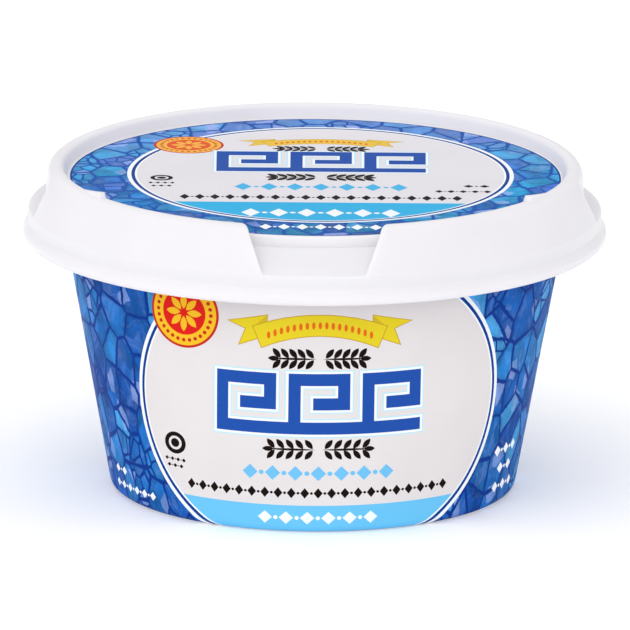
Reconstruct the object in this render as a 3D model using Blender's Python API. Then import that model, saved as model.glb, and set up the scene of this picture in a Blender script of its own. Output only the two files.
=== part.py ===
"""A shut round plastic tub of crumbled cheese, with its press-on lid.

Metres, +Z up. The origin is the middle of the foot ring, on the surface that the tub stands on, and the
lid's thumb notch faces -Y. Each sub-part is one object with its own material. The pack can't be seen
into, so the tub, the cheese in it and the air over the cheese are one solid.

A section is a list of (radius, height, rounding) corners in the plane through the axis. An azimuth is
counted from the thumb notch, and grows towards +X.
"""

import math

import bmesh
import bpy
from mathutils import Vector

MM = 0.001

TURN_STEPS = 80  # sides of a turned shape
ARC_STEPS = 3  # straight pieces of a rounded corner
MERGE_DISTANCE = 0.005 * MM
CLEARANCE = 0.3 * MM  # between the tub and the lid

# Tub: a flared wall on a foot ring, with a flange that the lid is pressed over.
FOOT_RADIUS = 40.8 * MM  # the wall's line, carried down to the floor
WALL_FLARE = 0.1833  # radius that the wall gains for each unit of height
HEEL_ROUNDING = 2.0 * MM
FOOT_RING_INNER_RADIUS = 35.0 * MM
FOOT_RECESS_DEPTH = 1.2 * MM
FLANGE_THICKNESS = 1.2 * MM
FLANGE_ROUNDING = 0.3 * MM

# Lid: heights from the floor.
SKIRT_BOTTOM = 51.5 * MM
BEAD_TOP = 54.7 * MM  # the skirt's thick lower half ends here
BEAD_SLOPE = 1.1 * MM
LEDGE_HEIGHT = 57.5 * MM
LABEL_HEIGHT = 63.8 * MM  # the sunk round panel that carries the print
CREST_HEIGHT = 66.5 * MM

# Lid: radii.
PANEL_RADIUS = 50.0 * MM
CREST_INNER_RADIUS = 51.1 * MM
CREST_INNER_ROUNDING = 1.4 * MM
CREST_OUTER_RADIUS = 54.0 * MM
CREST_OUTER_ROUNDING = 2.0 * MM
RIM_WALL_FOOT_RADIUS = 54.6 * MM
LEDGE_RADIUS = 58.0 * MM
BEAD_RADIUS = 59.0 * MM
SKIRT_WALL = 1.1 * MM
PANEL_WALL = 1.2 * MM
PLUG_RADIUS = 49.0 * MM  # inside the rim, where the panel's underside is
RIM_SHOULDER_HEIGHT = 59.0 * MM  # underside of the rim
RIM_SHOULDER_RADIUS = 53.3 * MM
CORNER_ROUNDING = 0.3 * MM  # where no other is named
LEDGE_ROUNDING = 0.5 * MM
SKIRT_FOOT_ROUNDING = 1.2 * MM

# Ramp: the smooth slope that fills the step between crest and ledge round the front.
RAMP_TOP_RADIUS = 53.4 * MM
RAMP_TOP_ROUNDING = 2.0 * MM
RAMP_WAIST_RADIUS = 55.9 * MM
RAMP_WAIST_HEIGHT = 62.5 * MM
RAMP_WAIST_ROUNDING = 15.0 * MM  # half way down, where the slope bulges a little
RAMP_FOOT_RADIUS = 57.5 * MM
RAMP_SWEEP_STEPS = 36
RAMP_HALF_ANGLE = math.tau * RAMP_SWEEP_STEPS / TURN_STEPS / 2  # its sides line up with the turned body's
EMBED = 0.05 * MM  # how far the ramp's ends are sunk into the rim and the ledge

# Thumb notch, cut through the rim and the ramp.
NOTCH_STEP_RADIUS = 50.1 * MM
NOTCH_STEP_FOOT_RADIUS = 50.3 * MM
NOTCH_STEP_DEPTH = 2.1 * MM  # below the panel
NOTCH_FLOOR_END_RADIUS = 57.4 * MM
NOTCH_FOOT_HALF_WIDTH = 10.9 * MM  # at the ledge's height, and PANEL_RADIUS in front of the axis
NOTCH_WALL_DRAFT = 0.31  # half width gained for each unit of height
NOTCH_WALL_TAPER = 0.15  # half width lost for each unit towards the front
NOTCH_SWEEP_STEPS = 10

# Stacking lugs: two low wedges on the crest that rise towards the notch.
LUG_FRONT_ANGLE = math.radians(55.5)
LUG_BACK_ANGLE = math.radians(64.3)
LUG_INNER_RADIUS = 51.4 * MM
LUG_TOP_OUTER_RADIUS = 52.0 * MM
LUG_OUTER_RADIUS = 53.0 * MM
LUG_RISE = 1.0 * MM
LUG_SWEEP_STEPS = 4


def wall_radius(height):
    """The tub wall's outer radius at a height."""
    return FOOT_RADIUS + WALL_FLARE * height


def polar(radius, azimuth, height):
    """A point from its radius, azimuth and height."""
    return Vector((radius * math.sin(azimuth), -radius * math.cos(azimuth), height))


def rounded(section):
    """The section's points, with an arc in place of each corner that has a rounding."""
    points = []
    last = len(section) - 1
    for index, (radius, height, rounding) in enumerate(section):
        corner = Vector((radius, height))
        if rounding == 0 or index in (0, last):
            points.append(corner)
            continue
        before = (Vector(section[index - 1][:2]) - corner).normalized()
        after = (Vector(section[index + 1][:2]) - corner).normalized()
        half_angle = before.angle(after) / 2
        reach = rounding / math.tan(half_angle)
        centre = corner + (before + after).normalized() * rounding / math.sin(half_angle)
        start = corner + before * reach - centre
        turn = start.angle_signed(corner + after * reach - centre)
        for step in range(ARC_STEPS + 1):
            angle = -turn * step / ARC_STEPS
            spoke = Vector(
                (
                    start.x * math.cos(angle) - start.y * math.sin(angle),
                    start.x * math.sin(angle) + start.y * math.cos(angle),
                )
            )
            points.append(centre + spoke)
    return points


def plastic(name, colour, roughness):
    """A Principled BSDF of one colour (linear RGB)."""
    material = bpy.data.materials.new(name)
    material.use_nodes = True
    shader = material.node_tree.nodes["Principled BSDF"]
    shader.inputs["Base Color"].default_value = (*colour, 1.0)
    shader.inputs["Roughness"].default_value = roughness
    shader.inputs["Metallic"].default_value = 0.0
    return material


def add_object(name, mesh, material):
    """Link a mesh as a named object with one material."""
    mesh.materials.append(material)
    obj = bpy.data.objects.new(name, mesh)
    bpy.context.scene.collection.objects.link(obj)
    return obj


def turned(name, section, material):
    """A solid of revolution. The section runs from the axis out over the top, down and back to the axis."""
    points = rounded(section)
    mesh = bpy.data.meshes.new(name)
    edges = [(index, index + 1) for index in range(len(points) - 1)]
    mesh.from_pydata([(point.x, 0.0, point.y) for point in points], edges, [])
    obj = add_object(name, mesh, material)
    screw = obj.modifiers.new("turn", "SCREW")
    screw.axis = "Z"
    screw.angle = math.tau
    screw.steps = TURN_STEPS
    screw.render_steps = TURN_STEPS
    screw.use_merge_vertices = True
    screw.merge_threshold = MERGE_DISTANCE
    screw.use_smooth_shade = True
    return obj


def lofted(name, ring_at, steps, material):
    """A closed solid through the rings ring_at(0) to ring_at(1), with a flat cap on each end."""
    form = bmesh.new()
    rings = [[form.verts.new(point) for point in ring_at(step / steps)] for step in range(steps + 1)]
    for first, second in zip(rings, rings[1:]):
        for side in range(len(first)):
            following = (side + 1) % len(first)
            form.faces.new((first[side], first[following], second[following], second[side]))
    form.faces.new(rings[0])
    form.faces.new(rings[-1])
    bmesh.ops.recalc_face_normals(form, faces=form.faces)
    mesh = bpy.data.meshes.new(name)
    form.to_mesh(mesh)
    form.free()
    return add_object(name, mesh, material)


def combine(body, tool, operation):
    """Join a hidden tool to a body, or cut it from it."""
    boolean = body.modifiers.new(tool.name, "BOOLEAN")
    boolean.operation = operation
    boolean.object = tool
    boolean.solver = "EXACT"
    tool.hide_render = True
    tool.display_type = "WIRE"
    tool.parent = body


def tub():
    """The tub and its contents: foot recess, foot ring, heel, flared wall, flange and shoulder."""
    top = LABEL_HEIGHT - PANEL_WALL - CLEARANCE
    shoulder = RIM_SHOULDER_HEIGHT - CLEARANCE
    plug_radius = PLUG_RADIUS - CLEARANCE
    shoulder_radius = RIM_SHOULDER_RADIUS - CLEARANCE
    flange_top = LEDGE_HEIGHT - SKIRT_WALL - CLEARANCE
    flange_bottom = flange_top - FLANGE_THICKNESS
    flange_radius = LEDGE_RADIUS - SKIRT_WALL - CLEARANCE
    section = [
        (0.0, top, 0.0),
        (plug_radius, top, FLANGE_ROUNDING),
        (plug_radius, shoulder, 0.0),
        (shoulder_radius, shoulder, FLANGE_ROUNDING),
        (shoulder_radius, flange_top, 0.0),
        (flange_radius, flange_top, FLANGE_ROUNDING),
        (flange_radius, flange_bottom, FLANGE_ROUNDING),
        (wall_radius(flange_bottom), flange_bottom, 2 * FLANGE_ROUNDING),
        (FOOT_RADIUS, 0.0, HEEL_ROUNDING),
        (FOOT_RING_INNER_RADIUS, 0.0, FLANGE_ROUNDING),
        (FOOT_RING_INNER_RADIUS - FOOT_RECESS_DEPTH, FOOT_RECESS_DEPTH, FLANGE_ROUNDING),
        (0.0, FOOT_RECESS_DEPTH, 0.0),
    ]
    return turned("tub", section, plastic("printed_polypropylene", (0.06, 0.22, 0.60), 0.30))


def lid_body(material):
    """The turned lid: sunk panel, crest, rim wall, ledge, beaded skirt and the hollow that grips the tub."""
    section = [
        (0.0, LABEL_HEIGHT, 0.0),
        (PANEL_RADIUS, LABEL_HEIGHT, CORNER_ROUNDING),
        (CREST_INNER_RADIUS, CREST_HEIGHT, CREST_INNER_ROUNDING),
        (CREST_OUTER_RADIUS, CREST_HEIGHT, CREST_OUTER_ROUNDING),
        (RIM_WALL_FOOT_RADIUS, LEDGE_HEIGHT, CORNER_ROUNDING),
        (LEDGE_RADIUS, LEDGE_HEIGHT, LEDGE_ROUNDING),
        (LEDGE_RADIUS, BEAD_TOP, CORNER_ROUNDING),
        (BEAD_RADIUS, BEAD_TOP - BEAD_SLOPE, BEAD_SLOPE),
        (BEAD_RADIUS, SKIRT_BOTTOM, SKIRT_FOOT_ROUNDING),
        (LEDGE_RADIUS - SKIRT_WALL, SKIRT_BOTTOM, CORNER_ROUNDING),
        (LEDGE_RADIUS - SKIRT_WALL, LEDGE_HEIGHT - SKIRT_WALL, 0.0),
        (RIM_SHOULDER_RADIUS, LEDGE_HEIGHT - SKIRT_WALL, 0.0),
        (RIM_SHOULDER_RADIUS, RIM_SHOULDER_HEIGHT, 0.0),
        (PLUG_RADIUS, RIM_SHOULDER_HEIGHT, 0.0),
        (PLUG_RADIUS, LABEL_HEIGHT - PANEL_WALL, 0.0),
        (0.0, LABEL_HEIGHT - PANEL_WALL, 0.0),
    ]
    return turned("lid", section, material)


def ramp(material):
    """The front slope from the crest to the ledge, swept round the axis."""
    top = CREST_HEIGHT - EMBED
    floor = LEDGE_HEIGHT - SKIRT_WALL / 2
    inner_radius = CREST_INNER_RADIUS + SKIRT_WALL
    section = [
        (inner_radius, top, 0.0),
        (RAMP_TOP_RADIUS, top, RAMP_TOP_ROUNDING),
        (RAMP_WAIST_RADIUS, RAMP_WAIST_HEIGHT, RAMP_WAIST_ROUNDING),
        (RAMP_FOOT_RADIUS, LEDGE_HEIGHT - EMBED, 0.0),
        (RAMP_FOOT_RADIUS, floor, 0.0),
        (RIM_SHOULDER_RADIUS + SKIRT_WALL / 2, floor, 0.0),
        (RIM_SHOULDER_RADIUS, LABEL_HEIGHT, 0.0),
        (inner_radius, LABEL_HEIGHT, 0.0),
    ]
    line = rounded(section)

    def ring_at(share):
        azimuth = RAMP_HALF_ANGLE * (2 * share - 1)
        return [polar(point.x, azimuth, point.y) for point in line]

    return lofted("ramp", ring_at, RAMP_SWEEP_STEPS, material)


def notch_edge(radius, height):
    """The azimuth of the notch's flat side wall at a radius and height."""
    half_width = NOTCH_FOOT_HALF_WIDTH + NOTCH_WALL_DRAFT * (height - LEDGE_HEIGHT)
    half_width += NOTCH_WALL_TAPER * PANEL_RADIUS
    lean = math.atan(NOTCH_WALL_TAPER)
    return math.asin(half_width * math.cos(lean) / radius) - lean


def notch(material):
    """The space of the thumb notch: a small step at the panel's edge, a sloping floor and flat sides."""
    lip = LABEL_HEIGHT + EMBED
    floor_end = LEDGE_HEIGHT + 3 * EMBED
    above = CREST_HEIGHT + LUG_RISE
    beyond = BEAD_RADIUS + CLEARANCE
    section = [
        (PANEL_RADIUS - SKIRT_WALL, lip),
        (NOTCH_STEP_RADIUS, lip),
        (NOTCH_STEP_FOOT_RADIUS, LABEL_HEIGHT - NOTCH_STEP_DEPTH),
        (NOTCH_FLOOR_END_RADIUS, floor_end),
        (beyond, floor_end),
        (beyond, above),
        (PANEL_RADIUS - SKIRT_WALL, above),
    ]

    def ring_at(share):
        ring = []
        for radius, height in section:
            ring.append(polar(radius, notch_edge(radius, height) * (2 * share - 1), height))
        return ring

    return lofted("notch", ring_at, NOTCH_SWEEP_STEPS, material)


def lug(side, material):
    """One stacking lug, on the right of the notch for side 1 and on the left for side -1."""
    root = CREST_HEIGHT - LUG_RISE

    def ring_at(share):
        azimuth = side * (LUG_BACK_ANGLE + (LUG_FRONT_ANGLE - LUG_BACK_ANGLE) * share)
        top = CREST_HEIGHT - 2 * EMBED + (LUG_RISE + 2 * EMBED) * share
        return [
            polar(LUG_INNER_RADIUS, azimuth, root),
            polar(LUG_OUTER_RADIUS, azimuth, root),
            polar(LUG_OUTER_RADIUS, azimuth, top - LUG_RISE * share / 2),
            polar(LUG_TOP_OUTER_RADIUS, azimuth, top),
            polar(LUG_INNER_RADIUS, azimuth, top),
        ]

    name = "lug_right" if side > 0 else "lug_left"
    return lofted(name, ring_at, LUG_SWEEP_STEPS, material)


def lid():
    """The lid: the turned body with its ramp and lugs joined on, and the thumb notch cut out."""
    material = plastic("white_polypropylene", (0.90, 0.89, 0.91), 0.35)
    body = lid_body(material)
    combine(body, ramp(material), "UNION")
    for side in (-1, 1):
        combine(body, lug(side, material), "UNION")
    combine(body, notch(material), "DIFFERENCE")
    return body


def main():
    for obj in list(bpy.data.objects):
        bpy.data.objects.remove(obj, do_unlink=True)
    tub()
    lid()


main()
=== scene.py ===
"""The looks of a shut round plastic tub of crumbled cheese with its press-on lid.

Lengths are in millimetres until a mesh is made, and the floor under the tub is at height 0. An azimuth is
counted from the thumb notch, which faces -Y, and grows towards +X. A section is a list of
(radius, height, rounding) corners in the plane through the axis. The print is laid out flat, in millimetres
to the right of its middle and up, and is then wrapped on the wall or laid on the lid's sunk panel.
"""

import math

import bmesh
import bpy
from mathutils import Matrix, Vector
from mathutils.geometry import delaunay_2d_cdt

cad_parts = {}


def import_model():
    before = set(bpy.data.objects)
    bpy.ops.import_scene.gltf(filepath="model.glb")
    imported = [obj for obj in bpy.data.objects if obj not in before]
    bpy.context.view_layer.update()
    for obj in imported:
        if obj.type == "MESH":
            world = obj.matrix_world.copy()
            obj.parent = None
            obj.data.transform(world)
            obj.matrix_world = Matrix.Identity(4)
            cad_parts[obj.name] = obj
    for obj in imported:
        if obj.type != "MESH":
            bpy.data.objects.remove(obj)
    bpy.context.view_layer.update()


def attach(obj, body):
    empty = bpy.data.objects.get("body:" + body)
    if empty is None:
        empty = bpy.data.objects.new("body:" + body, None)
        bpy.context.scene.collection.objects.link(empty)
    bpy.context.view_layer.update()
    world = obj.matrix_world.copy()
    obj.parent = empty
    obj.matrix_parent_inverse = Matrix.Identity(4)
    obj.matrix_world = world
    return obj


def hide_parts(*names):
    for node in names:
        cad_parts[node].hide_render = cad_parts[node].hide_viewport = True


MM = 0.001
BODY = "root"

CLEARANCE = 0.3  # between the tub and the lid
CORNER_ROUNDING = 0.3  # where no other is named
SHOULDER_ROUNDING = 0.2  # of the lid's inside round the tub's shoulder

# Tub.
FOOT_RADIUS = 40.8  # the wall's line, carried down to the floor
WALL_FLARE = 0.1833  # radius that the wall gains for each unit of height
HEEL_ROUNDING = 2.0
FOOT_RING_INNER_RADIUS = 35.0
FOOT_RECESS_DEPTH = 1.2
FLANGE_BOTTOM = 54.9
FLANGE_TOP = 56.1
FLANGE_RADIUS = 56.6
FLANGE_FOOT_ROUNDING = 0.5
SHOULDER_RADIUS = 53.0
SHOULDER_HEIGHT = 58.7
PLUG_RADIUS = 48.7
PLUG_TOP = 62.3
WALL_SIDES = 256

# Lid: the skirt, the ledge and the rim.
SKIRT_BOTTOM = 51.5
SKIRT_FOOT_ROUNDING = 1.2
BEAD_TOP = 54.7  # the skirt's thick lower half ends here
BEAD_SOFTNESS = 1.0
BEAD_SLOPE = (0.3, -1.5)  # where its soft slope starts and ends, from BEAD_TOP
BEAD_RADIUS = 58.999  # a hair inside the solid
LEDGE_HEIGHT = 57.5
LEDGE_RADIUS = 58.0
LEDGE_ROUNDING = 0.5
LABEL_HEIGHT = 63.8  # the sunk round panel that carries the print
PANEL_RADIUS = 50.0
CREST_HEIGHT = 66.5
CREST_INNER_RADIUS = 51.1
CREST_INNER_ROUNDING = 1.4
CREST_OUTER_RADIUS = 54.0
CREST_OUTER_ROUNDING = 2.0
RIM_WALL_FOOT_RADIUS = 54.6

# Lid: the ramp, which fills the step between crest and ledge round the front.
RAMP_TOP_RADIUS = 53.4
RAMP_WAIST_RADIUS = 55.9
RAMP_WAIST_HEIGHT = 62.5
RAMP_WAIST_ROUNDING = 15.0  # half way down, where the slope bulges a little
RAMP_FOOT_RADIUS = 57.8
RAMP_FOOT_HEIGHT = 57.4
RAMP_FOOT_ROUNDING = 0.6
RAMP_FIRST_COLUMN = math.radians(15.0)  # next to the notch
RAMP_END = math.radians(81.0)

# Lid: the thumb notch, cut through the rim and the ramp.
NOTCH_FOOT_HALF_WIDTH = 11.3  # at the ledge's height, and PANEL_RADIUS in front of the axis
NOTCH_WALL_DRAFT = 0.36  # half width gained for each unit of height, up to the step
NOTCH_UPPER_DRAFT = 0.17  # and above it
NOTCH_WALL_TAPER = 0.15  # half width lost for each unit towards the front
STEP_RADIUS = 50.1
STEP_FOOT_RADIUS = 50.45
STEP_FOOT_DEPTH = 0.4  # below the ridge
STEP_FOOT_ROUNDING = 0.35
RIDGE_RADIUS = 50.98
RIDGE_HEIGHT = 61.7  # of the soft line across the notch's floor
RIDGE_ROUNDING = 0.12
NOTCH_FLOOR_END_RADIUS = 57.0
NOTCH_FLOOR_END_HEIGHT = 57.85
NOTCH_FLOOR_END_ROUNDING = 2.0
NOTCH_FLOOR_COLUMNS = 10  # on each side of its middle

# Lid: the stacking lugs, two low wedges on the crest.
LUG_FRONT = math.radians(55.5)
LUG_BACK = math.radians(64.3)
LUG_INNER_RADIUS = 51.2
LUG_OUTER_RADIUS = 52.8
LUG_RISE = 1.0
LUG_FRONT_SLOPE = math.radians(0.5)

# Lid: how far the soft edges of its side walls reach, and its columns.
NOTCH_FOOT_SOFTNESS = 0.9
NOTCH_EDGE_SOFTNESS = 1.2
RAMP_FOOT_SOFTNESS = 1.6
RAMP_END_SOFTNESS = 4.0
FOOT_SHARES = (0.0, 0.33, 0.66, 1.0)  # the columns of a side wall's foot arc
EDGE_SHARES = (0.0, 0.25, 0.5, 0.75, 1.0)  # and of the arc at its top
COLUMN_STEP = math.radians(1.3)  # along the ramp and the plain rim

# Closing a mesh.
MERGE_DISTANCE = 0.002  # corners closer than this are one
ON_LINE = 0.001  # a corner closer than this to the print's edge is on it
SEAM_SLACK = 0.012  # how far a corner may lie from the open edge that it splits
THINNEST_FACE = 0.0005  # thinner ones are dissolved

# Print.
PRINT_AZIMUTH = math.radians(1.5)  # the print's middle is a little to the right of the notch
LABEL_FOOT = -0.2  # where the wall's label ends, in the heel's curve
LABEL_TOP = 53.4
GROUND_TOP = 54.0  # the bare wall round the label reaches from here
GROUND_FOOT_RADIUS = 35.4  # to here, under the foot
PANEL_PRINT_RADIUS = 49.7  # where the panel's flat ends
PANEL_LABEL = (0.1, -0.1, 49.65, 49.1)  # the label lies a little off the panel's middle
PANEL_EDGE_SHADE_WIDTH = 0.4  # width of the painted shade line round its edge, where the rim's inner wall shades it
RINGS = (("white", 0.0), ("ring_blue", 0.85), ("white", 1.55))  # round the field, from its edge inwards
RING_WIDTH = 1.95  # of the three rings together
UV_SIZE = 100.0  # millimetres of print in one unit of the print's UV map

# Finishes.
GLOSS_PATCH = 12.0  # width of the patches in which a moulded surface's gloss varies
INK_ROUGHNESS = 0.42  # of the clear face over a label's ink
INK_SPECULAR = 0.012
INK_GRAIN = 2.2
INK_RELIEF = 0.010

# Mosaic.
SHARD_WIDTH = 6.2
SHARD_HEIGHT = 7.44
FINE_CELLS = 1.9  # finer cells in a shard's width
UNCUT_SHARE = 0.72  # the share of shards that aren't cut up by their finer cells
GAP_HALF_WIDTH = (0.1, 0.4)  # least and most
GAP_BLUR = 0.03  # in shards

# Each row is (ink, x, y, width, height, number of lozenges), the ribbon is (x, y, scale across, scale up),
# and band_top is the height of the band's straight edge. The rest is (x, y, width, height), or (x, y, half
# width, half height) for what is round.
WALL_PRINT = {
    "circle": (0.3, 27.3, 41.35, 34.0),
    "band_top": 6.0,
    "ribbon": (0.0, 45.2, 1.0, 1.0),
    "roundel": (-28.9, 45.9, 8.0, 7.7),
    "sprigs": ((0.0, 37.9, 21.0, 4.4), (0.0, 18.2, 23.0, 4.3)),
    "key": (0.0, 28.1, 42.4, 13.2),
    "disc": (-31.2, 16.9, 2.7, 2.4),
    "rows": (
        ("sky_blue", 0.0, 13.0, 31.0, 3.2, 7),
        ("dark", 0.0, 8.7, 56.0, 2.3, 21),
        ("white", 0.0, 3.3, 24.4, 2.7, 6),
        ("dark", -31.2, 13.3, 5.4, 0.9, 4),
        ("dark", -31.2, 11.9, 4.2, 0.9, 3),
        ("white", -50.2, 6.8, 5.4, 1.9, 2),
        ("white", -45.0, 3.6, 16.0, 1.9, 6),
        ("white", 47.5, 12.4, 9.6, 2.4, 3),
        ("white", 47.5, 8.4, 6.4, 2.4, 2),
        ("white", 47.5, 4.4, 9.6, 2.4, 3),
    ),
}
PANEL_PRINT = {
    "circle": (1.1, 1.9, 39.1, 40.2),
    "band_top": -21.4,
    "ribbon": (1.2, 29.9, 0.88, 0.85),
    "roundel": (-25.7, 26.1, 7.1, 7.1),
    "sprigs": ((1.2, 23.6, 20.0, 4.4), (1.2, -0.4, 22.6, 5.6)),
    "key": (1.2, 12.7, 42.4, 16.8),
    "disc": (-31.0, -1.7, 2.3, 2.3),
    "rows": (
        ("sky_blue", 1.2, -8.5, 35.0, 5.8, 7),
        ("dark", 1.2, -17.2, 57.0, 4.2, 19),
        ("white", 1.2, -30.0, 32.0, 6.4, 6),
        ("white", 1.2, -41.8, 24.6, 4.4, 7),
        ("dark", -31.0, -5.8, 5.4, 1.5, 4),
        ("dark", -31.0, -8.3, 4.2, 1.5, 3),
        ("dark", 32.6, -6.9, 5.4, 2.2, 2),
        ("dark", 29.9, -11.4, 11.4, 2.2, 5),
    ),
}
# The wall's label and the panel's are printed in tones of their own, and share the rest.
WALL_INKS = {
    "field": "#DFDADA",
    "band": "#6CC2EE",
    "sky_blue": "#6FBDEA",
    "ribbon": "#E2CC2C",
    "gold": "#F2BE2A",
    "red": "#DC2420",
}
PANEL_INKS = {
    "field": "#DFDCE2",
    "band": "#37AFE0",
    "sky_blue": "#4DB2E2",
    "ribbon": "#E6BE48",
    "gold": "#F0B44C",
    "red": "#E05A2C",
}
SHARED_INKS = {
    "white": "#F0F4F7",
    "ring_blue": "#103F90",
    "royal_blue": "#2450A6",
    "halo": "#B4E2F6",
    "dark": "#1C1412",
    "ribbon_edge": "#C29E2E",
    "ribbon_shade": "#D0B428",
    "amber": "#E06A20",
    "dark_red": "#C23026",
}


# Measures, sections and nodes.


def linear(colour):
    """Linear RGBA of an sRGB hex colour."""
    channels = [int(colour[start : start + 2], 16) / 255 for start in (1, 3, 5)]
    return (*[c / 12.92 if c <= 0.04045 else ((c + 0.055) / 1.055) ** 2.4 for c in channels], 1.0)


def set_inputs(tree, node, links):
    """Set inputs by name, each to a value, to another node's socket or to its first output in use."""
    for name, value in links.items():
        if isinstance(value, bpy.types.Node):
            value = next(socket for socket in value.outputs if socket.enabled)
        if isinstance(value, bpy.types.NodeSocket):
            tree.links.new(value, node.inputs[name])
        else:
            node.inputs[name].default_value = value


def add_node(tree, kind, links=None, **settings):
    """Add a node with its settings, and with its inputs set from links."""
    node = tree.nodes.new(kind)
    for name, value in settings.items():
        setattr(node, name, value)
    set_inputs(tree, node, links or {})
    return node


def new_material(name):
    """A new material with its node tree and its surface shader."""
    material = bpy.data.materials.new(name)
    material.use_nodes = True
    tree = material.node_tree
    return material, tree, tree.nodes["Principled BSDF"]


def wall_radius(height):
    """The tub wall's outer radius at a height."""
    return FOOT_RADIUS + WALL_FLARE * height


def polar(radius, azimuth, height):
    """A point from its radius, azimuth and height."""
    return Vector((radius * math.sin(azimuth), -radius * math.cos(azimuth), height))


def rounded(section, steps=6):
    """The section's (radius, height) points, with an arc in place of each corner that has a rounding."""
    points = []
    last = len(section) - 1
    for index, (radius, height, rounding) in enumerate(section):
        corner = Vector((radius, height))
        if rounding == 0 or index in (0, last):
            points.append(corner)
            continue
        before = (Vector(section[index - 1][:2]) - corner).normalized()
        after = (Vector(section[index + 1][:2]) - corner).normalized()
        half_angle = before.angle(after) / 2
        centre = corner + (before + after).normalized() * rounding / math.sin(half_angle)
        reach = rounding / math.tan(half_angle)
        start = corner + before * reach - centre
        turn = start.angle_signed(corner + after * reach - centre)
        for step in range(steps + 1):
            points.append(centre + Matrix.Rotation(-turn * step / steps, 2) @ start)
    return points


def linked(name, data):
    """A new object in the scene, at the origin, from its mesh, light or camera."""
    obj = bpy.data.objects.new(name, data)
    bpy.context.scene.collection.objects.link(obj)
    return obj


def area_normals(mesh):
    """Vertex normals weighted by face area, so that a flat stays flat next to a small rounding."""
    normals = [Vector() for _ in mesh.vertices]
    for face in mesh.polygons:
        for vertex in face.vertices:
            normals[vertex] += face.normal * face.area
    return [normal.normalized() for normal in normals]


# Finishes.


def moulded_surface(tree, shader, grain_mm, relief_mm, roughness, spread):
    """The faint orange peel and uneven gloss of a moulded plastic surface."""
    place = add_node(tree, "ShaderNodeTexCoord")
    grain = add_node(
        tree,
        "ShaderNodeTexNoise",
        {"Vector": place.outputs["Object"], "Scale": 1 / (grain_mm * MM), "Detail": 2.0, "Roughness": 0.55},
    )
    bump = add_node(
        tree, "ShaderNodeBump", {"Height": grain, "Distance": relief_mm * MM, "Strength": 1.0}
    )
    cloud = add_node(
        tree,
        "ShaderNodeTexNoise",
        {"Vector": place.outputs["Object"], "Scale": 1 / (GLOSS_PATCH * MM), "Detail": 3.0},
    )
    gloss = add_node(
        tree,
        "ShaderNodeMapRange",
        {
            "Value": cloud,
            "From Min": 0.3,
            "From Max": 0.7,
            "To Min": roughness - spread,
            "To Max": roughness + spread,
        },
    )
    set_inputs(tree, shader, {"Normal": bump, "Roughness": gloss})
    return cloud


def white_polypropylene():
    """Injection-moulded polypropylene, filled white: a satin skin that lets a little light in."""
    material, tree, shader = new_material("white_polypropylene_moulded")
    cloud = moulded_surface(tree, shader, grain_mm=1.6, relief_mm=0.012, roughness=0.36, spread=0.05)
    tone = add_node(
        tree,
        "ShaderNodeMix",
        {"Factor": cloud, "A": linear("#E1DFE3"), "B": linear("#E6E4E8")},
        data_type="RGBA",
    )
    looks = {
        "Base Color": tone,
        "IOR": 1.49,
        "Specular IOR Level": 0.45,
        "Subsurface Weight": 0.5,
        "Subsurface Radius": (1.2, 1.1, 1.1),
        "Subsurface Scale": 2.0 * MM,
    }
    set_inputs(tree, shader, looks)
    return material


def printed_film(name):
    """Ink under the clear face of an in-mould label: even colour with a faint, soft gloss over it."""
    material, tree, shader = new_material(name)
    set_inputs(tree, shader, {"Specular IOR Level": INK_SPECULAR})
    cloud = moulded_surface(tree, shader, INK_GRAIN, INK_RELIEF, INK_ROUGHNESS, 0.05)
    return material, tree, shader, cloud


def ink(name, colour):
    """One printed ink, with a trace of unevenness in its tone, as a thin film of ink has."""
    material, tree, shader, cloud = printed_film(name + "_in_mould_print")
    shade = add_node(tree, "ShaderNodeMapRange", {"Value": cloud, "To Min": 0.96, "To Max": 1.04})
    tone = add_node(tree, "ShaderNodeHueSaturation", {"Color": linear(colour), "Value": shade})
    set_inputs(tree, shader, {"Base Color": tone})
    return material


def all_inks(prefix, colours):
    """The inks of a table of colours, each by its name there."""
    return {name: ink(prefix + name, colour) for name, colour in colours.items()}


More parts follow.
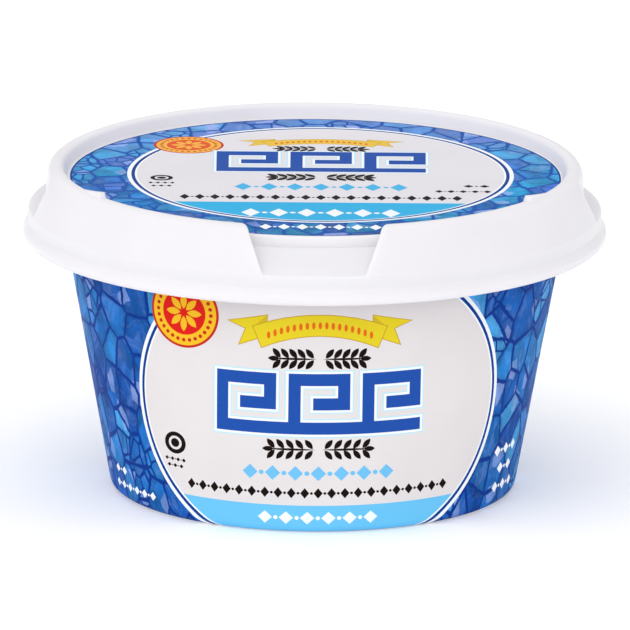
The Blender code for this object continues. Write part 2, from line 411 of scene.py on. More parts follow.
def mosaic(name, gap, shards, pale, haze_share, low_tone=1.0, far_sheen=0.0):
    """A printed mosaic of irregular glass shards in several blues, with dark gaps of uneven width.

    low_tone deepens the shards near the lower edge of a print centred on the axis, and far_sheen is the
    share of a painted sheen that pales those near its upper edge.
    """
    material, tree, shader, _ = printed_film(name + "_mosaic_in_mould_print")
    flat = add_node(tree, "ShaderNodeUVMap", uv_map="print")
    # Coordinates in shards, pushed about a little so that no edge is quite straight.
    plain = add_node(
        tree,
        "ShaderNodeVectorMath",
        {0: flat, 1: (UV_SIZE / SHARD_WIDTH, UV_SIZE / SHARD_HEIGHT, 1.0)},
        operation="MULTIPLY",
    )
    push = add_node(
        tree, "ShaderNodeTexNoise", {"Vector": plain, "Scale": 3.0, "Detail": 1.0}, noise_dimensions="2D"
    )
    place = add_node(
        tree,
        "ShaderNodeVectorMath",
        {0: push.outputs["Color"], 1: (0.07, 0.07, 0.0), 2: plain},
        operation="MULTIPLY_ADD",
    )
    cells = {}
    for scale in (1.0, FINE_CELLS):
        for feature in ("F1", "DISTANCE_TO_EDGE"):
            cells[scale, feature] = add_node(
                tree,
                "ShaderNodeTexVoronoi",
                {"Vector": place, "Scale": scale},
                voronoi_dimensions="2D",
                feature=feature,
            )
    edge = cells[1.0, "DISTANCE_TO_EDGE"]
    cloud = add_node(
        tree,
        "ShaderNodeTexNoise",
        {"Vector": place, "Scale": 1.3, "Detail": 5.0, "Roughness": 0.65},
        noise_dimensions="2D",
    )
    # Each shard's own random number picks its blue.
    pick = add_node(tree, "ShaderNodeSeparateColor", {"Color": cells[1.0, "F1"].outputs["Color"]})
    blues = add_node(tree, "ShaderNodeValToRGB", {"Fac": pick.outputs["Red"]})
    stops = blues.color_ramp
    stops.interpolation = "CONSTANT"
    while len(stops.elements) < len(shards):
        stops.elements.new(1.0)
    for index, colour in enumerate(shards):
        stops.elements[index].position = index / len(shards)
        stops.elements[index].color = linear(colour)
    # Its finer cells are straight-edged facets, each a bit lighter or darker. Clouds and darker edges come
    # over them, and the print's lower edge is deeper than the rest.
    fine_colour = cells[FINE_CELLS, "F1"].outputs["Color"]
    fine_pick = add_node(tree, "ShaderNodeSeparateColor", {"Color": fine_colour})
    level = add_node(tree, "ShaderNodeSeparateXYZ", {"Vector": flat})
    value = 1.0
    for source, least, most, low, high in (
        (fine_pick.outputs["Blue"], 0.0, 1.0, 0.78, 1.22),
        (cloud, 0.3, 0.7, 0.8, 1.2),
        (edge.outputs["Distance"], 0.05, 0.2, 0.86, 1.0),
        (level.outputs["Y"], -0.45, -0.17, low_tone, 1.0),
    ):
        share = add_node(
            tree,
            "ShaderNodeMapRange",
            {"Value": source, "From Min": least, "From Max": most, "To Min": low, "To Max": high},
        )
        value = add_node(tree, "ShaderNodeMath", {0: value, 1: share}, operation="MULTIPLY")
    shaded = add_node(tree, "ShaderNodeHueSaturation", {"Color": blues.outputs["Color"], "Value": value})
    # A few facets are pale. Thin streaks of the same pale tone drift over all the shards, as on sea glass,
    # and a painted sheen pales the print towards its upper edge, the panel's far side.
    facets = add_node(
        tree,
        "ShaderNodeMapRange",
        {"Value": fine_pick.outputs["Green"], "From Min": 0.86, "From Max": 0.9, "To Max": 1.0},
    )
    frost_and_sheen = add_node(tree, "ShaderNodeMath", {0: facets, 1: cloud}, operation="MULTIPLY")
    streaks = add_node(
        tree,
        "ShaderNodeTexNoise",
        {"Vector": place, "Scale": 1.1, "Detail": 8.0, "Roughness": 0.75, "Distortion": 1.2},
        noise_dimensions="2D",
    )
    for source, least, most, share, operation in (
        (streaks, 0.5, 0.72, haze_share, "MAXIMUM"),
        (level.outputs["Y"], -0.05, 0.48, far_sheen, "ADD"),
    ):
        streak_and_sheen = add_node(
            tree,
            "ShaderNodeMapRange",
            {"Value": source, "From Min": least, "From Max": most, "To Max": share},
        )
        frost_and_sheen = add_node(tree, "ShaderNodeMath", {0: frost_and_sheen, 1: streak_and_sheen}, operation=operation)
    frosted_and_sheen = add_node(
        tree,
        "ShaderNodeMix",
        {"Factor": frost_and_sheen, "A": shaded.outputs["Color"], "B": linear(pale)},
        data_type="RGBA",
    )
    # The gaps: all round each shard, and in about three shards out of ten also between its finer cells.
    reach = add_node(
        tree,
        "ShaderNodeMapRange",
        {
            "Value": cloud,
            "From Min": 0.3,
            "From Max": 0.7,
            "To Min": GAP_HALF_WIDTH[0] / SHARD_WIDTH,
            "To Max": GAP_HALF_WIDTH[1] / SHARD_WIDTH,
        },
    )
    uncut = add_node(
        tree, "ShaderNodeMath", {0: pick.outputs["Green"], 1: UNCUT_SHARE}, operation="LESS_THAN"
    )
    fine_distance = add_node(
        tree,
        "ShaderNodeMath",
        {0: cells[FINE_CELLS, "DISTANCE_TO_EDGE"].outputs["Distance"], 1: 0.7, 2: uncut},
        operation="MULTIPLY_ADD",
    )
    distance = add_node(
        tree, "ShaderNodeMath", {0: edge.outputs["Distance"], 1: fine_distance}, operation="MINIMUM"
    )
    blurred_reach = add_node(tree, "ShaderNodeMath", {0: reach, 1: GAP_BLUR}, operation="ADD")
    gap_share = add_node(
        tree,
        "ShaderNodeMapRange",
        {"Value": distance, "From Min": reach, "From Max": blurred_reach, "To Min": 1.0, "To Max": 0.0},
    )
    laid = add_node(
        tree, "ShaderNodeMix", {"Factor": gap_share, "A": frosted_and_sheen, "B": linear(gap)}, data_type="RGBA"
    )
    set_inputs(tree, shader, {"Base Color": laid})
    return material


# Flat outlines of the print.


def oval(x, y, half_width, half_height, count=72):
    """An oval's outline, counterclockwise from its right end."""
    turns = [math.tau * step / count for step in range(count)]
    return [(x + half_width * math.cos(turn), y + half_height * math.sin(turn)) for turn in turns]


def bar(left, right, low, high):
    """A rectangle's outline."""
    return [(left, low), (right, low), (right, high), (left, high)]


def leaf(x, y, length, width, direction, steps=6):
    """A pointed leaf from its stalk end."""
    outline = []
    for side in (1, -1):
        for step in range(steps):
            share = step / steps if side > 0 else 1 - step / steps
            outline.append((share * length, -side * width / 2 * math.sin(math.pi * share) ** 0.8))
    turn = Matrix.Rotation(direction, 2)
    return [tuple(Vector((x, y)) + turn @ Vector(point)) for point in outline]


def counterclockwise(outline):
    """The outline in counterclockwise order."""
    doubled_area = 0.0
    for before, point in zip(outline[-1:] + outline[:-1], outline):
        doubled_area += before[0] * point[1] - point[0] * before[1]
    return outline if doubled_area > 0 else outline[::-1]


def grown(outline, by):
    """The outline with each corner moved out by the same distance from its two sides."""
    outline = counterclockwise(outline)
    result = []
    count = len(outline)
    for index in range(count):
        before = (Vector(outline[index]) - Vector(outline[index - 1])).normalized()
        after = (Vector(outline[(index + 1) % count]) - Vector(outline[index])).normalized()
        out = Vector((before.y + after.y, -before.x - after.x)).normalized()
        stretch = max(0.4, out.dot(Vector((after.y, -after.x))))
        result.append(tuple(Vector(outline[index]) + out * by / stretch))
    return result


def circle_field(place):
    """The pale field in its white and blue rings."""
    x, y, half_width, half_height = place["circle"]
    layers = (*RINGS, ("field", RING_WIDTH))
    return [(name, oval(x, y, half_width - inset, half_height - inset, 144)) for name, inset in layers]


def band(place):
    """The light-blue band: the part of the field's oval that is under a level line."""
    x, y, half_width, half_height = place["circle"]
    half_width -= RING_WIDTH
    half_height -= RING_WIDTH
    end = math.asin((place["band_top"] - y) / half_height)
    steps = 60
    turns = [-math.pi - end + (math.pi + 2 * end) * step / steps for step in range(steps + 1)]
    outline = [(x + half_width * math.cos(turn), y + half_height * math.sin(turn)) for turn in turns]
    return [("band", outline)]


def key_frieze(place):
    """Three turns of a bold square key pattern with a white and a pale-blue outline."""
    x, y, width, height = place["key"]
    units = 3
    pitch = 6  # strokes from one turn to the next
    stroke_x = width / (pitch * units - 1)
    stroke_y = height / 5
    path = [(0, 0), (0, 4), (4, 4), (4, 2), (2, 2)]
    shapes = []
    for name, margin in (("halo", 0.75), ("white", 0.5), ("royal_blue", 0.0)):
        for unit in range(units):
            start = x - width / 2 + pitch * unit * stroke_x
            base_end = pitch if unit < units - 1 else pitch - 2
            for first, second in zip([(base_end, 0)] + path, path):
                left, right = sorted((first[0], second[0]))
                low, high = sorted((first[1], second[1]))
                outline = bar(
                    start + left * stroke_x - margin,
                    start + (right + 1) * stroke_x + margin,
                    y - height / 2 + low * stroke_y - margin,
                    y - height / 2 + (high + 1) * stroke_y + margin,
                )
                shapes.append((name, outline))
    return shapes


def sprig(x, y, width, height):
    """Two leafy twigs that meet in the middle."""
    shapes = []
    pairs = 5
    for side in (-1, 1):
        along = 0.0 if side > 0 else math.pi
        shapes.append(("dark", leaf(x + side * 0.6, y, width / 2 - 1.2, 0.5, along)))
        for pair in range(pairs):
            stalk = x + side * (1.2 + (width / 2 - 3.8) * pair / (pairs - 1))
            for up in (-1, 1):
                turn = along + side * up * math.radians(52)
                shapes.append(("dark", leaf(stalk, y + up * 0.15, height * 0.6, height * 0.27, turn)))
        shapes.append(("dark", leaf(x + side * (width / 2 - 2.4), y, 2.4, height * 0.26, along)))
    return shapes


def beads(name, x, y, width, height, count):
    """A row of lozenges with a dot between each two."""
    shapes = []
    pitch = width / (count - 0.3)
    half = pitch * 0.34
    for index in range(count):
        middle = x - width / 2 + half + index * (width - 2 * half) / max(1, count - 1)
        shapes.append((name, oval(middle, y, half, height / 2, 4)))  # four corners make it a lozenge
        if index < count - 1:
            between = middle + (width - 2 * half) / (count - 1) / 2
            dot = min(height * 0.16, pitch * 0.11)
            shapes.append((name, oval(between, y, dot, dot, 12)))
    return shapes


def ribbon(place):
    """An arched ribbon with a row of dots on it, whose two forked ends fold behind it."""
    x, y, across, up = place["ribbon"]
    shapes = []
    for side in (-1, 1):
        tail = [(10.8, 1.9), (10.8, -2.2), (12.9, -3.2), (16.4, -4.6), (15.1, -1.1), (18.7, 0.3)]
        fold = [(10.8, 1.9), (10.9, 0.2), (13.9, -1.0)]
        for name, outline, margin in (
            ("ribbon_edge", tail, 0.2),
            ("ribbon", tail, 0.0),
            ("ribbon_shade", fold, 0.0),
        ):
            placed = [(x + side * across * point[0], y + up * point[1]) for point in outline]
            shapes.append((name, grown(placed, margin)))
    steps = 12
    top = []
    foot = []
    for step in range(steps + 1):
        share = 2 * step / steps - 1
        top.append((x - across * 13.6 * share, y + up * (2.2 - 2.8 * share**2)))
        foot.append((x + across * 11.8 * share, y - up * (2.2 + 2.8 * share**2)))
    arch = foot + top
    shapes.append(("ribbon_edge", grown(arch, 0.2)))
    shapes.append(("ribbon", arch))
    dots = 17
    for dot in range(dots):
        share = 2 * dot / (dots - 1) - 1
        middle = (x + across * 10.4 * share, y - up * 2.3 * share**2)
        shapes.append(("amber", oval(*middle, 0.36 * across, 0.8 * up, 12)))
    return shapes


def roundel(place):
    """A plain gold and red roundel: a ring of beads round an eight-petalled flower."""
    x, y, half_width, half_height = place["roundel"]
    shapes = []
    for name, share in (("dark_red", 1.0), ("gold", 0.93), ("red", 0.63)):
        shapes.append((name, oval(x, y, half_width * share, half_height * share)))
    beads_round = 28
    for bead in range(beads_round):
        turn = math.tau * bead / beads_round
        middle = (x + half_width * 0.78 * math.cos(turn), y + half_height * 0.78 * math.sin(turn))
        shapes.append(("dark_red", oval(*middle, half_width * 0.055, half_height * 0.055, 10)))
    petals = 8
    for petal in range(petals):
        turn = math.tau * petal / petals
        inner = half_width * 0.1
        stalk = (x + inner * math.cos(turn), y + inner * math.sin(turn))
        shapes.append(("gold", leaf(*stalk, half_width * 0.42, half_width * 0.19, turn)))
    return shapes


def small_disc(place):
    """A dark dot in a dark ring."""
    x, y, half_width, half_height = place["disc"]
    return [
        (name, oval(x, y, half_width * share, half_height * share, count))
        for name, share, count in (("dark", 1.0, 40), ("field", 0.62, 32), ("dark", 0.4, 24))
    ]


def print_shapes(place):
    """The whole print but its mosaic, from the bottom layer to the top one."""
    shapes = circle_field(place) + band(place) + roundel(place) + small_disc(place)
    shapes += ribbon(place) + key_frieze(place)
    for place_and_size in place["sprigs"]:
        shapes += sprig(*place_and_size)
    for row in place["rows"]:
        shapes += beads(*row)
    return shapes


def painted(ground, shapes, edges):
    """Triangles of a flat ground, each with the name of the topmost shape over it.

    edges are extra (start, end) lines that the triangles must follow. Returns the points and a list of
    (triangle, name), where the ground's own name is None.
    """
    points = []
    lines = []
    faces = []
    for outline in [ground] + [counterclockwise(shape[1]) for shape in shapes]:
        faces.append(list(range(len(points), len(points) + len(outline))))
        points.extend(Vector(point) for point in outline)
    for start, end in edges:
        lines.append((len(points), len(points) + 1))
        points.extend((Vector(start), Vector(end)))
    inside_only = 1
    flat, _, triangles, _, _, over = delaunay_2d_cdt(points, lines, faces, inside_only, 1e-5)
    names = [None] + [shape[0] for shape in shapes]
    kept = [(triangle, names[max(layers)]) for triangle, layers in zip(triangles, over) if 0 in layers]
    return flat, kept


# Pieces.


def build_mesh(columns):
    """A bmesh of quads between columns of points, closed round the axis, and its print UV layer."""
    form = bmesh.new()
    layer = form.loops.layers.uv.new("print")
    rings = [[form.verts.new(point) for point in column] for column in columns]
    for first, second in zip(rings, rings[1:] + rings[:1]):
        for row in range(len(first) - 1):
            form.faces.new((first[row], first[row + 1], second[row + 1], second[row]))
    return form, layer


def add_print(form, layer, flat, triangles, slots, place):
    """Add painted triangles to a bmesh, each put in place by a function of its flat point."""
    verts = [form.verts.new(place(point)) for point in flat]
    for triangle, name in triangles:
        face = form.faces.new([verts[index] for index in triangle])
        face.material_index = slots[name]
        for loop, index in zip(face.loops, triangle):
            loop[layer].uv = flat[index] / UV_SIZE


def split_open_edges(form):
    """Give each open edge the corners of its neighbour across the seam that lie on it."""
    seam = [edge for edge in form.edges if edge.is_boundary]
    corners = {corner for edge in seam for corner in edge.verts}
    for edge in seam:
        start, end = edge.verts
        along = end.co - start.co
        met = []
        for corner in corners - {start, end}:
            share = (corner.co - start.co).dot(along) / along.length_squared
            if 0 < share < 1 and (start.co + share * along - corner.co).length < SEAM_SLACK:
                met.append((share, corner.co.copy()))
        passed = 0.0
        for share, place in sorted(met, key=lambda item: item[0]):
            _, start = bmesh.utils.edge_split(edge, start, (share - passed) / (1 - passed))
            start.co = place
            passed = share


def finished(name, form, materials, normal_at=None):
    """Close the seams, scale to metres and hand over a smooth object with clean normals."""
    bmesh.ops.remove_doubles(form, verts=form.verts, dist=MERGE_DISTANCE)
    split_open_edges(form)
    bmesh.ops.remove_doubles(form, verts=form.verts, dist=MERGE_DISTANCE)
    bmesh.ops.dissolve_degenerate(form, edges=form.edges, dist=THINNEST_FACE)
    bmesh.ops.recalc_face_normals(form, faces=form.faces)
    bmesh.ops.scale(form, verts=form.verts, vec=(MM, MM, MM))
    mesh = bpy.data.meshes.new(name)
    form.to_mesh(mesh)
    form.free()
    for material in materials:
        mesh.materials.append(material)
    mesh.shade_smooth()
    normals = area_normals(mesh)
    if normal_at:
        for vertex in mesh.vertices:
            normals[vertex.index] = normal_at(vertex.co) or normals[vertex.index]
    mesh.normals_split_custom_set_from_vertices(normals)
    return linked(name, mesh)


def turned_tree():
    """Geometry nodes that turn a section round the axis. The section's points are the input's points."""
    tree = bpy.data.node_groups.new("turned", "GeometryNodeTree")
    for name, kind in (
        ("Section", "NodeSocketGeometry"),
        ("Corners", "NodeSocketInt"),
        ("Sides", "NodeSocketInt"),
        ("Material", "NodeSocketMaterial"),
    ):
        tree.interface.new_socket(name, in_out="INPUT", socket_type=kind)
    tree.interface.new_socket("Solid", in_out="OUTPUT", socket_type="NodeSocketGeometry")
    given = add_node(tree, "NodeGroupInput")
    columns = add_node(tree, "ShaderNodeMath", {0: given.outputs["Sides"], 1: 1.0}, operation="ADD")
    grid = add_node(
        tree, "GeometryNodeMeshGrid", {"Vertices X": columns, "Vertices Y": given.outputs["Corners"]}
    )
    index = add_node(tree, "GeometryNodeInputIndex")
    corner = add_node(tree, "ShaderNodeMath", {0: index, 1: given.outputs["Corners"]}, operation="MODULO")
    side = add_node(tree, "ShaderNodeMath", {0: index, 1: given.outputs["Corners"]}, operation="DIVIDE")
    whole_side = add_node(tree, "ShaderNodeMath", {0: side}, operation="FLOOR")
    share = add_node(
        tree, "ShaderNodeMath", {0: whole_side, 1: given.outputs["Sides"]}, operation="DIVIDE"
    )
    azimuth = add_node(tree, "ShaderNodeMath", {0: share, 1: math.tau}, operation="MULTIPLY")
    place = add_node(tree, "GeometryNodeInputPosition")
    sample = add_node(
        tree,
        "GeometryNodeSampleIndex",
        {"Geometry": given.outputs["Section"], "Value": place, "Index": corner},
        data_type="FLOAT_VECTOR",
    )
    turn = add_node(
        tree,
        "ShaderNodeVectorRotate",
        {"Vector": sample, "Axis": (0.0, 0.0, 1.0), "Angle": azimuth},
        rotation_type="AXIS_ANGLE",
    )
    wrapped = add_node(tree, "GeometryNodeSetPosition", {"Geometry": grid, "Position": turn})
    merged = add_node(
        tree, "GeometryNodeMergeByDistance", {"Geometry": wrapped, "Distance": MERGE_DISTANCE}
    )
    realized = add_node(tree, "GeometryNodeRealizeInstances", {"Geometry": merged})
    worn = add_node(
        tree, "GeometryNodeSetMaterial", {"Geometry": realized, "Material": given.outputs["Material"]}
    )
    add_node(tree, "NodeGroupOutput", {"Solid": worn})
    return tree


def made_by(tree, name, mesh, inputs):
    """The plain mesh that a geometry node tree makes from a mesh and its named inputs."""
    obj = linked(name, mesh)
    modifier = obj.modifiers.new(tree.name, "NODES")
    modifier.node_group = tree
    for socket in tree.interface.items_tree:
        if socket.in_out == "INPUT" and socket.name in inputs:
            modifier[socket.identifier] = inputs[socket.name]
    graph = bpy.context.evaluated_depsgraph_get()
    made = bpy.data.meshes.new_from_object(obj.evaluated_get(graph))
    bpy.data.objects.remove(obj)
    return made


def turned(name, points, material):
    """A turned mesh in millimetres. Its section starts at the notch's azimuth."""
    mesh = bpy.data.meshes.new(name)
    mesh.from_pydata([(0.0, -point.x, point.y) for point in points], [], [])
    inputs = {"Corners": len(points), "Sides": WALL_SIDES, "Material": material}
    return made_by(turned_tree(), name, mesh, inputs)


def lid_sections():
    """The lid's sections through the plain rim, the ramp and the notch, with as many points in each."""
    ledge_underside = FLANGE_TOP + CLEARANCE
    skirt_inner_radius = FLANGE_RADIUS + CLEARANCE
    shoulder_radius = SHOULDER_RADIUS + CLEARANCE
    shoulder_height = SHOULDER_HEIGHT + CLEARANCE
    plug_radius = PLUG_RADIUS + CLEARANCE
    panel_underside = PLUG_TOP + CLEARANCE
    skirt = [
        (LEDGE_RADIUS, BEAD_TOP + BEAD_SLOPE[0], BEAD_SOFTNESS),
        (BEAD_RADIUS, BEAD_TOP + BEAD_SLOPE[1], BEAD_SOFTNESS),
        (BEAD_RADIUS, SKIRT_BOTTOM, SKIRT_FOOT_ROUNDING),
        (skirt_inner_radius, SKIRT_BOTTOM, CORNER_ROUNDING),
        (skirt_inner_radius, ledge_underside, CORNER_ROUNDING),
        (shoulder_radius, ledge_underside, SHOULDER_ROUNDING),
        (shoulder_radius, shoulder_height, SHOULDER_ROUNDING),
        (plug_radius, shoulder_height, SHOULDER_ROUNDING),
        (plug_radius, panel_underside, CORNER_ROUNDING),
        (0.0, panel_underside, 0.0),
    ]
    panel_edge = (PANEL_RADIUS, LABEL_HEIGHT, CORNER_ROUNDING)
    crest_inside = (CREST_INNER_RADIUS, CREST_HEIGHT, CREST_INNER_ROUNDING)
    rim = [
        panel_edge,
        crest_inside,
        (CREST_OUTER_RADIUS, CREST_HEIGHT, CREST_OUTER_ROUNDING),
        (RIM_WALL_FOOT_RADIUS, LEDGE_HEIGHT, LEDGE_ROUNDING),
        (LEDGE_RADIUS, LEDGE_HEIGHT, LEDGE_ROUNDING),
    ]
    ramp = [
        panel_edge,
        crest_inside,
        (RAMP_TOP_RADIUS, CREST_HEIGHT, CREST_OUTER_ROUNDING),
        (RAMP_WAIST_RADIUS, RAMP_WAIST_HEIGHT, RAMP_WAIST_ROUNDING),
        (RAMP_FOOT_RADIUS, RAMP_FOOT_HEIGHT, RAMP_FOOT_ROUNDING),
    ]
    notch = [
        (STEP_RADIUS, LABEL_HEIGHT, CORNER_ROUNDING),
        (STEP_FOOT_RADIUS, RIDGE_HEIGHT - STEP_FOOT_DEPTH, STEP_FOOT_ROUNDING),
        (RIDGE_RADIUS, RIDGE_HEIGHT, RIDGE_ROUNDING),
        (NOTCH_FLOOR_END_RADIUS, NOTCH_FLOOR_END_HEIGHT, NOTCH_FLOOR_END_ROUNDING),
        (RAMP_FOOT_RADIUS, RAMP_FOOT_HEIGHT, CORNER_ROUNDING),
    ]
    start = (PANEL_PRINT_RADIUS, LABEL_HEIGHT, 0.0)
    return [rounded([start] + top + skirt) for top in (rim, ramp, notch)]


def reach_at(point, length):
    """The azimuth that a length spans at a section point, or at the panel's edge if that is farther out."""
    return length / max(point.x, PANEL_RADIUS)


def notch_azimuth(point):
    """The azimuth of the notch's side wall at a section point."""
    half_width = NOTCH_FOOT_HALF_WIDTH + NOTCH_WALL_DRAFT * (min(point.y, RIDGE_HEIGHT) - LEDGE_HEIGHT)
    half_width += NOTCH_UPPER_DRAFT * max(0.0, point.y - RIDGE_HEIGHT)
    half_width += NOTCH_WALL_TAPER * PANEL_RADIUS
    lean = math.atan(NOTCH_WALL_TAPER)
    return math.asin(reach_at(point, half_width * math.cos(lean))) - lean


def ramp_end_azimuth(_point):
    """The azimuth of the ramp's end, which is the same at every section point."""
    return RAMP_END


def on_ramp(point, azimuth):
    """A point of the ramp's section, raised where a stacking lug stands on the crest."""
    share = 0.0
    if LUG_INNER_RADIUS < point.x < LUG_OUTER_RADIUS and point.y > LABEL_HEIGHT:
        share = (LUG_BACK - azimuth) / (LUG_BACK - LUG_FRONT)
        share = max(0.0, min(share, (azimuth - LUG_FRONT) / LUG_FRONT_SLOPE + 1))
    return polar(point.x, azimuth, point.y + (CREST_HEIGHT + LUG_RISE - point.y) * share)


def side_wall(low, high, azimuth_at, direction, foot_softness, edge_softness):
    """Columns up a side wall from a lower section to a higher one, with a soft foot and a soft edge.

    direction is 1 where the wall rises towards larger azimuths, and -1 where it rises towards smaller ones.
    """
    columns = [[] for _ in FOOT_SHARES + EDGE_SHARES]
    for under, over in zip(low, high):
        foot = polar(under.x, azimuth_at(under), under.y)
        top = polar(over.x, azimuth_at(over), over.y)
        before = azimuth_at(under) - direction * reach_at(under, foot_softness)
        after = azimuth_at(over) + direction * reach_at(over, edge_softness)
        # Where the wall is low, the two arcs share its height.
        rise = top - foot
        length = max(rise.length, 1e-6)
        lower = foot + rise * min(0.4, foot_softness / length)
        upper = top - rise * min(0.5, edge_softness / length)
        foot_arc = (polar(under.x, before, under.y), foot, lower)
        edge_arc = (upper, top, polar(over.x, after, over.y))
        arc_shares = [(foot_arc, share) for share in FOOT_SHARES]
        arc_shares += [(edge_arc, share) for share in EDGE_SHARES]
        for column, ((first, corner, second), share) in zip(columns, arc_shares):
            rest = 1 - share
            column.append(first * rest**2 + corner * 2 * rest * share + second * share**2)
    return columns


def notch_floor_columns(notch):
    """Columns of the notch's floor, from its middle to the foot of its side wall."""
    columns = []
    for step in range(NOTCH_FLOOR_COLUMNS):
        share = step / NOTCH_FLOOR_COLUMNS
        column = []
        for point in notch:
            end = notch_azimuth(point) - reach_at(point, NOTCH_FOOT_SOFTNESS)
            column.append(polar(point.x, end * share, point.y))
        columns.append(column)
    return columns


def ramp_columns(ramp):
    """Columns of the ramp. They lean like the notch's side wall near it and stand straight at the lugs."""
    first = RAMP_FIRST_COLUMN
    last = RAMP_END - RAMP_END_SOFTNESS / PANEL_RADIUS
    count = round((RAMP_END - first) / COLUMN_STEP)
    azimuths = [first + (last - first) * (step / count) for step in range(1, count)]
    azimuths += [LUG_FRONT - LUG_FRONT_SLOPE, LUG_FRONT, LUG_FRONT + LUG_FRONT_SLOPE, LUG_BACK]
    columns = []
    for azimuth in sorted(azimuths):
        share = (azimuth - first) / (last - first)
        straightness = min(1.0, share * 3)  # reached a third of the way round
        column = []
        for point in ramp:
            start = notch_azimuth(point) + reach_at(point, NOTCH_EDGE_SOFTNESS)
            leaning = start + (last - start) * share
            column.append(on_ramp(point, leaning * (1 - straightness) + azimuth * straightness))
        columns.append(column)
    return columns


def lid_columns():
    """The lid's surface as columns of points from the printed panel out, down and back to the axis."""
    rim, ramp, notch = lid_sections()
    columns = notch_floor_columns(notch)
    columns += side_wall(notch, ramp, notch_azimuth, 1, NOTCH_FOOT_SOFTNESS, NOTCH_EDGE_SOFTNESS)
    columns += ramp_columns(ramp)
    ramp_end = side_wall(rim, ramp, ramp_end_azimuth, -1, RAMP_FOOT_SOFTNESS, RAMP_END_SOFTNESS)
    columns += reversed(ramp_end)
    start = RAMP_END + RAMP_FOOT_SOFTNESS / PANEL_RADIUS
    count = round((math.pi - RAMP_END) / COLUMN_STEP)
    for step in range(1, count + 1):
        azimuth = start + (math.pi - start) * step / count
        columns.append([polar(point.x, azimuth, point.y) for point in rim])
    mirrored = [[Vector((-point.x, point.y, point.z)) for point in column] for column in columns[1:-1]]
    return columns + mirrored[::-1]


def ink_slots(inks):
    """The material slot of each ink. The bare plastic, whose name is None, is in slot 0."""
    return {None: 0, **{name: index + 1 for index, name in enumerate(inks)}}


def lid(plastic, inks):
    """The lid with its printed panel."""
    form, layer = build_mesh(lid_columns())
    ring = set()
    for vert in form.verts:
        off_line = (vert.co.z - LABEL_HEIGHT, vert.co.xy.length - PANEL_PRINT_RADIUS)
        if max(map(abs, off_line)) < ON_LINE:
            ring.add((round(vert.co.x, 4), round(vert.co.y, 4)))
    ring = sorted(ring, key=lambda point: math.atan2(point[1], point[0]))
    x, y, half_width, half_height = PANEL_LABEL
    inside = (x, y, half_width - PANEL_EDGE_SHADE_WIDTH, half_height - PANEL_EDGE_SHADE_WIDTH)
    # A painted shade line in the ring's dark blue runs round the label's edge, where the rim's inner wall
    # shades it.
    shapes = [("ring_blue", oval(*PANEL_LABEL, 180)), ("mosaic", oval(*inside, 180))]
    flat, triangles = painted(ring, shapes + print_shapes(PANEL_PRINT), [])

    def on_panel(point):
        return Vector((point.x, point.y, LABEL_HEIGHT))

    add_print(form, layer, flat, triangles, ink_slots(inks), on_panel)
    return finished("lid_shell", form, [plastic, *inks.values()])


def tub_sections():
    """The tub's section in three: its top down to the wall, the wall round the heel, and the underside."""
    wall_start = (wall_radius(GROUND_TOP), GROUND_TOP, 0.0)
    wall_end = (GROUND_FOOT_RADIUS, 0.0, 0.0)
    top = [
        (0.0, PLUG_TOP, 0.0),
        (PLUG_RADIUS, PLUG_TOP, CORNER_ROUNDING),
        (PLUG_RADIUS, SHOULDER_HEIGHT, 0.0),
        (SHOULDER_RADIUS, SHOULDER_HEIGHT, CORNER_ROUNDING),
        (SHOULDER_RADIUS, FLANGE_TOP, 0.0),
        (FLANGE_RADIUS, FLANGE_TOP, CORNER_ROUNDING),
        (FLANGE_RADIUS, FLANGE_BOTTOM, CORNER_ROUNDING),
        (wall_radius(FLANGE_BOTTOM), FLANGE_BOTTOM, FLANGE_FOOT_ROUNDING),
        wall_start,
    ]
    wall = [wall_start, (FOOT_RADIUS, 0.0, HEEL_ROUNDING), wall_end]
    underside = [
        wall_end,
        (FOOT_RING_INNER_RADIUS, 0.0, CORNER_ROUNDING),
        (FOOT_RING_INNER_RADIUS - FOOT_RECESS_DEPTH, FOOT_RECESS_DEPTH, CORNER_ROUNDING),
        (0.0, FOOT_RECESS_DEPTH, 0.0),
    ]
    return rounded(top), rounded(wall), rounded(underside)


def flat_heights(wall):
    """The flat height of each of the wall's section points.

    It is the point's own height on the straight wall, and is measured along the section past that.
    """
    heights = [wall[0].y, wall[1].y]
    for before, after in zip(wall[1:], wall[2:]):
        heights.append(heights[-1] - (after - before).length)
    return heights


def flattened(point):
    """A print point with its azimuth as a length at one radius for all heights."""
    azimuth = PRINT_AZIMUTH + point[0] / wall_radius(point[1])
    return (azimuth * PLUG_RADIUS, point[1])


def wall_normal(spot):
    """The true normal of the straight wall at a place on it, and None elsewhere."""
    if not HEEL_ROUNDING < spot.z / MM < LABEL_TOP or spot.xy.length / MM < FOOT_RADIUS:
        return None
    return Vector((spot.x, spot.y, -WALL_FLARE * spot.xy.length)).normalized()


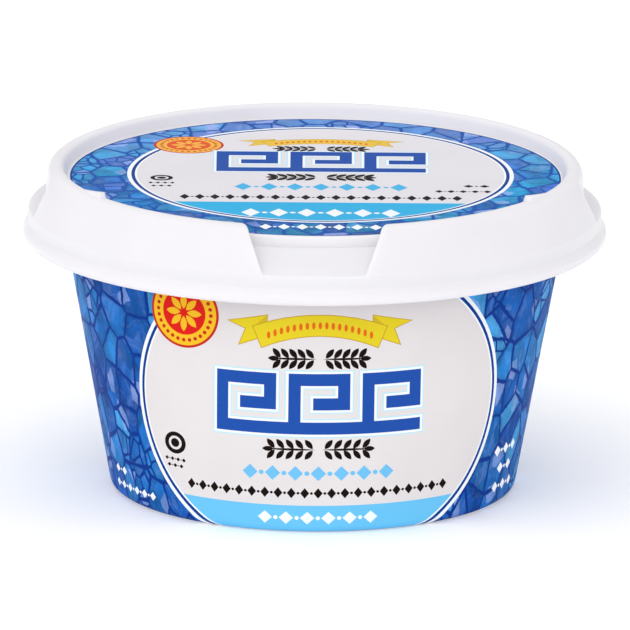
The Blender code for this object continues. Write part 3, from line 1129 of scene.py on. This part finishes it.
def tub(plastic, inks):
    """The tub: turned top and underside, and the printed wall between them."""
    top, wall, underside = tub_sections()
    heights = flat_heights(wall)
    half_width = math.pi * PLUG_RADIUS
    column = 2 * half_width / WALL_SIDES
    label_end = half_width - column / 2

    def on_wall(point):
        """The place on the wall of a flat point, on the same flat sides as the turned top's."""
        azimuth = point.x / PLUG_RADIUS + math.pi
        side = min(WALL_SIDES - 1, max(0, math.floor(azimuth / math.tau * WALL_SIDES + 1e-6)))
        share = azimuth / math.tau * WALL_SIDES - side
        row = 0
        while row < len(heights) - 2 and point.y < heights[row + 1]:
            row += 1
        down = (heights[row] - point.y) / (heights[row] - heights[row + 1])
        spot = wall[row].lerp(wall[row + 1], down)
        start = math.tau * side / WALL_SIDES - math.pi
        left = polar(spot.x, start, spot.y)
        return left.lerp(polar(spot.x, start + math.tau / WALL_SIDES, spot.y), share)

    edges = []
    for side in range(1, WALL_SIDES):
        x = -half_width + column * side
        edges.append(((x, heights[-1]), (x, heights[0])))
    for height in heights[1:-1]:
        edges.append(((-half_width, height), (half_width, height)))
    ground = bar(-half_width, half_width, heights[-1], heights[0])
    shapes = [("mosaic", bar(-label_end, label_end, LABEL_FOOT, LABEL_TOP))]
    for name, outline in print_shapes(WALL_PRINT):
        shapes.append((name, [flattened(point) for point in outline]))
    flat, triangles = painted(ground, shapes, edges)
    clipped = []
    for triangle, name in triangles:
        middle = sum((flat[index] for index in triangle), Vector((0.0, 0.0))) / 3
        inside = abs(middle.x) < label_end and LABEL_FOOT < middle.y < LABEL_TOP
        clipped.append((triangle, name if inside else None))

    form = bmesh.new()
    layer = form.loops.layers.uv.new("print")
    for name, points in (("top", top), ("underside", underside)):
        form.from_mesh(turned(name, points, plastic))
    add_print(form, layer, flat, clipped, ink_slots(inks), on_wall)
    return finished("tub_shell", form, [plastic, *inks.values()], wall_normal)


def studio():
    """A pale floor, soft light all round, and large soft lights from the front and the left."""
    size = 6.0  # metres
    mesh = bpy.data.meshes.new("floor")
    corners = [(x, y, 0.0) for x, y in bar(-size, size, -size, size)]
    mesh.from_pydata(corners, [], [(0, 1, 2, 3)])
    # An opal acrylic sheet lit from below, as a light table has, which keeps the contact shadow faint.
    material, tree, shader = new_material("lit_opal_acrylic")
    looks = {
        "Base Color": linear("#FAFAFB"),
        "Roughness": 0.9,
        "Specular IOR Level": 0.1,
        "Emission Color": linear("#FFFFFF"),
        "Emission Strength": 0.14,
    }
    set_inputs(tree, shader, looks)
    mesh.materials.append(material)
    floor = linked("floor", mesh)

    world = bpy.data.worlds.new("studio")
    world.use_nodes = True
    tree = world.node_tree
    # The sky is even but for a dim part low behind, so that the sides of the wall keep their colours.
    way = add_node(tree, "ShaderNodeTexCoord")
    facing = add_node(
        tree,
        "ShaderNodeVectorMath",
        {0: way.outputs["Generated"], 1: Vector((0.0, -0.5, 0.85)).normalized()},
        operation="DOT_PRODUCT",
    )
    strength = add_node(
        tree,
        "ShaderNodeMapRange",
        {"Value": facing, "From Min": -0.7, "From Max": -0.1, "To Min": 0.3, "To Max": 0.91},
    )
    set_inputs(tree, tree.nodes["Background"], {"Color": linear("#FFFFFF"), "Strength": strength})
    bpy.context.scene.world = world

    for name, azimuth, elevation, power in (("key", -6, 36, 0.6), ("side", -62, 36, 0.28)):
        light = bpy.data.lights.new(name, "SUN")
        light.angle = math.radians(60)
        light.energy = power
        toward = polar(1.0, math.radians(azimuth), math.tan(math.radians(elevation)))
        linked(name, light).rotation_euler = (-toward).to_track_quat("-Z", "Y").to_euler()


def camera():
    """A long lens far off, looking down a little, and turned by about half a degree round its own line."""
    elevation = math.radians(14.2)
    roll = math.radians(0.45)
    distance = 5.5
    view_width = 127.5 * MM
    aim = Vector((0.2, 0.0, 35.0)) * MM
    data = bpy.data.cameras.new("camera")
    data.sensor_width = 36.0
    data.lens = data.sensor_width * distance / view_width
    data.clip_end = 50.0
    obj = linked("camera", data)
    toward = Vector((0.0, math.cos(elevation), -math.sin(elevation)))
    turn = Matrix.Rotation(math.pi / 2 - elevation, 4, "X") @ Matrix.Rotation(roll, 4, "Z")
    obj.matrix_world = Matrix.Translation(aim - toward * distance) @ turn
    bpy.context.scene.camera = obj


def main():
    """Build the two pieces, their light and the camera."""
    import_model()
    bpy.context.scene.view_settings.view_transform = "Standard"
    plastic = white_polypropylene()
    wall_mosaic = mosaic(
        "wall",
        gap="#11388C",
        shards=("#184E9E", "#2068B4", "#1D5AAA", "#2A7AC2", "#4094D0"),
        pale="#97AEE4",
        haze_share=0.24,
    )
    wall_inks = {"mosaic": wall_mosaic, **all_inks("wall_", WALL_INKS)}
    panel_mosaic = mosaic(
        "panel",
        gap="#1E54AA",
        shards=("#227ABE", "#2C98CE", "#2A6EBA", "#4272C4", "#348ECC"),
        pale="#A0B2EC",
        haze_share=0.34,
        low_tone=0.68,
        far_sheen=0.3,
    )
    panel_inks = {"mosaic": panel_mosaic, **all_inks("panel_", PANEL_INKS)}
    shared_inks = all_inks("", SHARED_INKS)
    lid_piece = lid(plastic, {**panel_inks, **shared_inks})
    tub_piece = tub(plastic, {**wall_inks, **shared_inks})
    for piece, node, slot in ((lid_piece, "lid", "lid_plastic"), (tub_piece, "tub", "tub_plastic")):
        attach(piece, BODY)
        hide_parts(node)
    studio()
    camera()


main()
